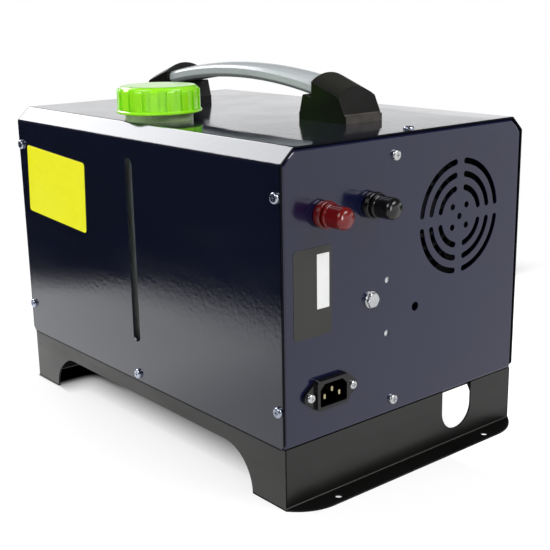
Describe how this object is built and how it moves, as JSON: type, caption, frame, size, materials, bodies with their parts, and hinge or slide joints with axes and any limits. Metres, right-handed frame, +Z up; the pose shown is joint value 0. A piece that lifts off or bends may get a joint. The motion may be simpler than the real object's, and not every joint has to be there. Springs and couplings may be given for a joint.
{
  "type": "indirect diesel heater",
  "caption": "Portable diesel air heater in a folded sheet-metal case, with fuel tank, carrying handle, round intake grille, power inlet, binding posts and a turning warm-air outlet.",
  "frame": {"origin": "centre of the four floor bolt holes, at the underside of the base's floor flanges", "axes": "+Z up; +Y towards the rear panel with the intake grille and the power inlet, along the longest side; +X towards the side with the fuel sight slot"},
  "size_m": [0.2552, 0.4056, 0.2958],
  "materials": {
    "case_paint": "gloss navy powder coat",
    "base_paint": "satin black powder coat",
    "zinc": "zinc plated",
    "bright_zinc": "bright zinc",
    "black_plastic": "moulded",
    "gloss_black_plastic": "moulded, gloss",
    "red_plastic": "moulded, gloss",
    "contact_brass": "nickel on brass",
    "lime_plastic": "moulded, gloss",
    "tank_plastic": "blow moulded",
    "grip_plastic": "moulded, satin",
    "foot_plastic": "moulded, semi-matt",
    "rubber": "moulded",
    "galvanised": "galvanised",
    "cast_aluminium": "cast",
    "stainless": "stainless",
    "board_blue": "moulded",
    "filter_plastic": "clear moulded",
    "screen": "display window",
    "button_plastic": "moulded",
    "gasket": "fibre"
  },
  "bodies": {
    "case": {"base_frame": "base_paint", "floor_pan": "base_paint", "deck_bolts": "zinc", "hood": "case_paint", "hood_screws": "zinc", "rear_panel": "case_paint", "front_panel": "case_paint", "divider": "base_paint", "panel_screws": "zinc", "earth_bolt": "bright_zinc", "earth_nut": "zinc", "inlet_body": "gloss_black_plastic", "inlet_contacts": "contact_brass", "inlet_screws": "zinc", "red_post_collar": "red_plastic", "black_post_collar": "gloss_black_plastic", "post_studs": "contact_brass", "power_leads": "black_plastic", "power_supply": "galvanised", "fuel_tank": "tank_plastic", "tank_pad": "rubber", "tank_straps": "galvanised", "handle_grip": "grip_plastic", "handle_foot_rear": "foot_plastic", "handle_foot_front": "foot_plastic", "handle_bolts": "zinc", "heater_stand": "galvanised", "heater_gasket": "gasket", "heater_case_lower": "black_plastic", "heater_case_upper": "black_plastic", "heat_exchanger": "cast_aluminium", "burner_tube": "stainless", "glow_plug": "zinc", "blower_motor": "cast_aluminium", "control_unit": "board_blue", "heater_intake": "black_plastic", "heater_nozzle": "black_plastic", "exhaust_pipe": "stainless", "combustion_air_pipe": "black_plastic", "fuel_pump": "galvanised", "fuel_filter": "filter_plastic", "fuel_lines": "rubber", "outlet_sleeve": "rubber", "outlet_collar": "black_plastic", "controller_case": "black_plastic", "controller_screen": "screen"},
    "liner": {"cap_liner": "rubber"},
    "cap": {"filler_cap": "lime_plastic"},
    "red_washer": {"red_post_washer": "contact_brass"},
    "red_knob": {"red_post_knob": "red_plastic"},
    "black_washer": {"black_post_washer": "contact_brass"},
    "black_knob": {"black_post_knob": "gloss_black_plastic"},
    "blower": {"blower_wheel": "black_plastic"},
    "vent_ring": {"outlet_ring": "black_plastic"},
    "louvre_1": {"louvre_1": "black_plastic"},
    "louvre_2": {"louvre_2": "black_plastic"},
    "louvre_3": {"louvre_3": "black_plastic"},
    "louvre_4": {"louvre_4": "black_plastic"},
    "button_up": {"button_up": "button_plastic"},
    "button_down": {"button_down": "button_plastic"}
  },
  "joints": [
    {"name": "cap_lift", "type": "slide", "parent": "case", "child": "liner", "axis": [0, 0, 1], "range_m": [0, 0.01]},
    {"name": "cap_turn", "type": "hinge", "parent": "liner", "child": "cap", "pos_m": [0.085, -0.013, 0.27], "axis": [0, 0, 1], "range_deg": [0, 900]},
    {"name": "red_knob_travel", "type": "slide", "parent": "case", "child": "red_washer", "axis": [0, 1, 0], "range_m": [0, 0.004]},
    {"name": "red_knob_turn", "type": "hinge", "parent": "red_washer", "child": "red_knob", "pos_m": [0.088, 0.2, 0.2082], "axis": [0, 1, 0], "range_deg": [0, 1800]},
    {"name": "black_knob_travel", "type": "slide", "parent": "case", "child": "black_washer", "axis": [0, 1, 0], "range_m": [0, 0.004]},
    {"name": "black_knob_turn", "type": "hinge", "parent": "black_washer", "child": "black_knob", "pos_m": [0.0424, 0.2, 0.2082], "axis": [0, 1, 0], "range_deg": [0, 1800]},
    {"name": "blower_spin", "type": "hinge", "parent": "case", "child": "blower", "pos_m": [-0.0525, 0.05, 0.186], "axis": [0, 1, 0], "continuous": true},
    {"name": "vent_turn", "type": "hinge", "parent": "case", "child": "vent_ring", "pos_m": [-0.0525, -0.18, 0.186], "axis": [0, 1, 0], "continuous": true},
    {"name": "louvre_tilt_1", "type": "hinge", "parent": "vent_ring", "child": "louvre_1", "pos_m": [-0.0525, -0.18, 0.165], "axis": [1, 0, 0], "range_deg": [-45, 45]},
    {"name": "louvre_tilt_2", "type": "hinge", "parent": "vent_ring", "child": "louvre_2", "pos_m": [-0.0525, -0.18, 0.179], "axis": [1, 0, 0], "range_deg": [-45, 45]},
    {"name": "louvre_tilt_3", "type": "hinge", "parent": "vent_ring", "child": "louvre_3", "pos_m": [-0.0525, -0.18, 0.193], "axis": [1, 0, 0], "range_deg": [-45, 45]},
    {"name": "louvre_tilt_4", "type": "hinge", "parent": "vent_ring", "child": "louvre_4", "pos_m": [-0.0525, -0.18, 0.207], "axis": [1, 0, 0], "range_deg": [-45, 45]},
    {"name": "button_up_press", "type": "slide", "parent": "case", "child": "button_up", "axis": [0, 1, 0], "range_m": [0, 0.0008], "stiffness_N_per_m": 400},
    {"name": "button_down_press", "type": "slide", "parent": "case", "child": "button_down", "axis": [0, 1, 0], "range_m": [0, 0.0008], "stiffness_N_per_m": 400}
  ],
  "couplings": [
    {"joint": "cap_lift", "follows": "cap_turn", "m_per_rad": 0.00063662},
    {"joint": "red_knob_turn", "follows": "red_knob_travel", "rad_per_m": 7854},
    {"joint": "black_knob_turn", "follows": "black_knob_travel", "rad_per_m": 7854},
    {"joint": "louvre_tilt_2", "follows": "louvre_tilt_1", "ratio": 1},
    {"joint": "louvre_tilt_3", "follows": "louvre_tilt_1", "ratio": 1},
    {"joint": "louvre_tilt_4", "follows": "louvre_tilt_1", "ratio": 1}
  ]
}
